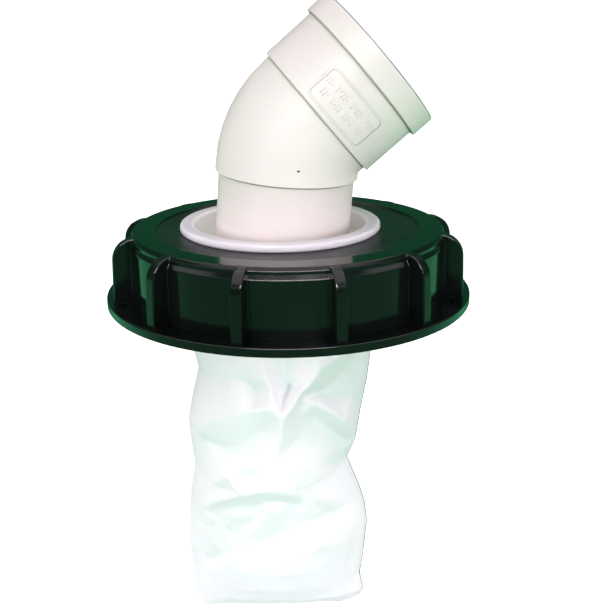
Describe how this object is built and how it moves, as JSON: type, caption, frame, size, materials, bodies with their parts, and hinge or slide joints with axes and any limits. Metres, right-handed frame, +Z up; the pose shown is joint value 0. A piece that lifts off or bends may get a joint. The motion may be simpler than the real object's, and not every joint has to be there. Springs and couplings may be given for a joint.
{
  "type": "tank lid filter",
  "caption": "Black screw lid for a bulk tank's neck with a ring-mouthed mesh filter bag hung through it and a leaning white pipe elbow standing in the bag's collar.",
  "frame": {"origin": "centre of the lid's mouth: on the lid's axis, in the plane of the flange's lower face, where the tank's neck goes in", "axes": "+Z up along the lid's axis, out of the tank; the elbow bends towards +X; -Y faces the picture's camera"},
  "size_m": [0.2064, 0.2064, 0.3737],
  "materials": {
    "lid_plastic": "glossy moulded black with a green cast",
    "gasket_rubber": "soft matt rubber",
    "collar_plastic": "waxy, slightly see-through natural plastic",
    "pipe_plastic": "satin warm white pipe plastic",
    "bag_mesh": "fine stiff white filter mesh"
  },
  "bodies": {
    "root": {"screw_lid": "lid_plastic", "lid_gasket": "gasket_rubber", "filter_collar": "collar_plastic", "pipe_elbow": "pipe_plastic", "filter_bag": "bag_mesh"}
  },
  "joints": []
}
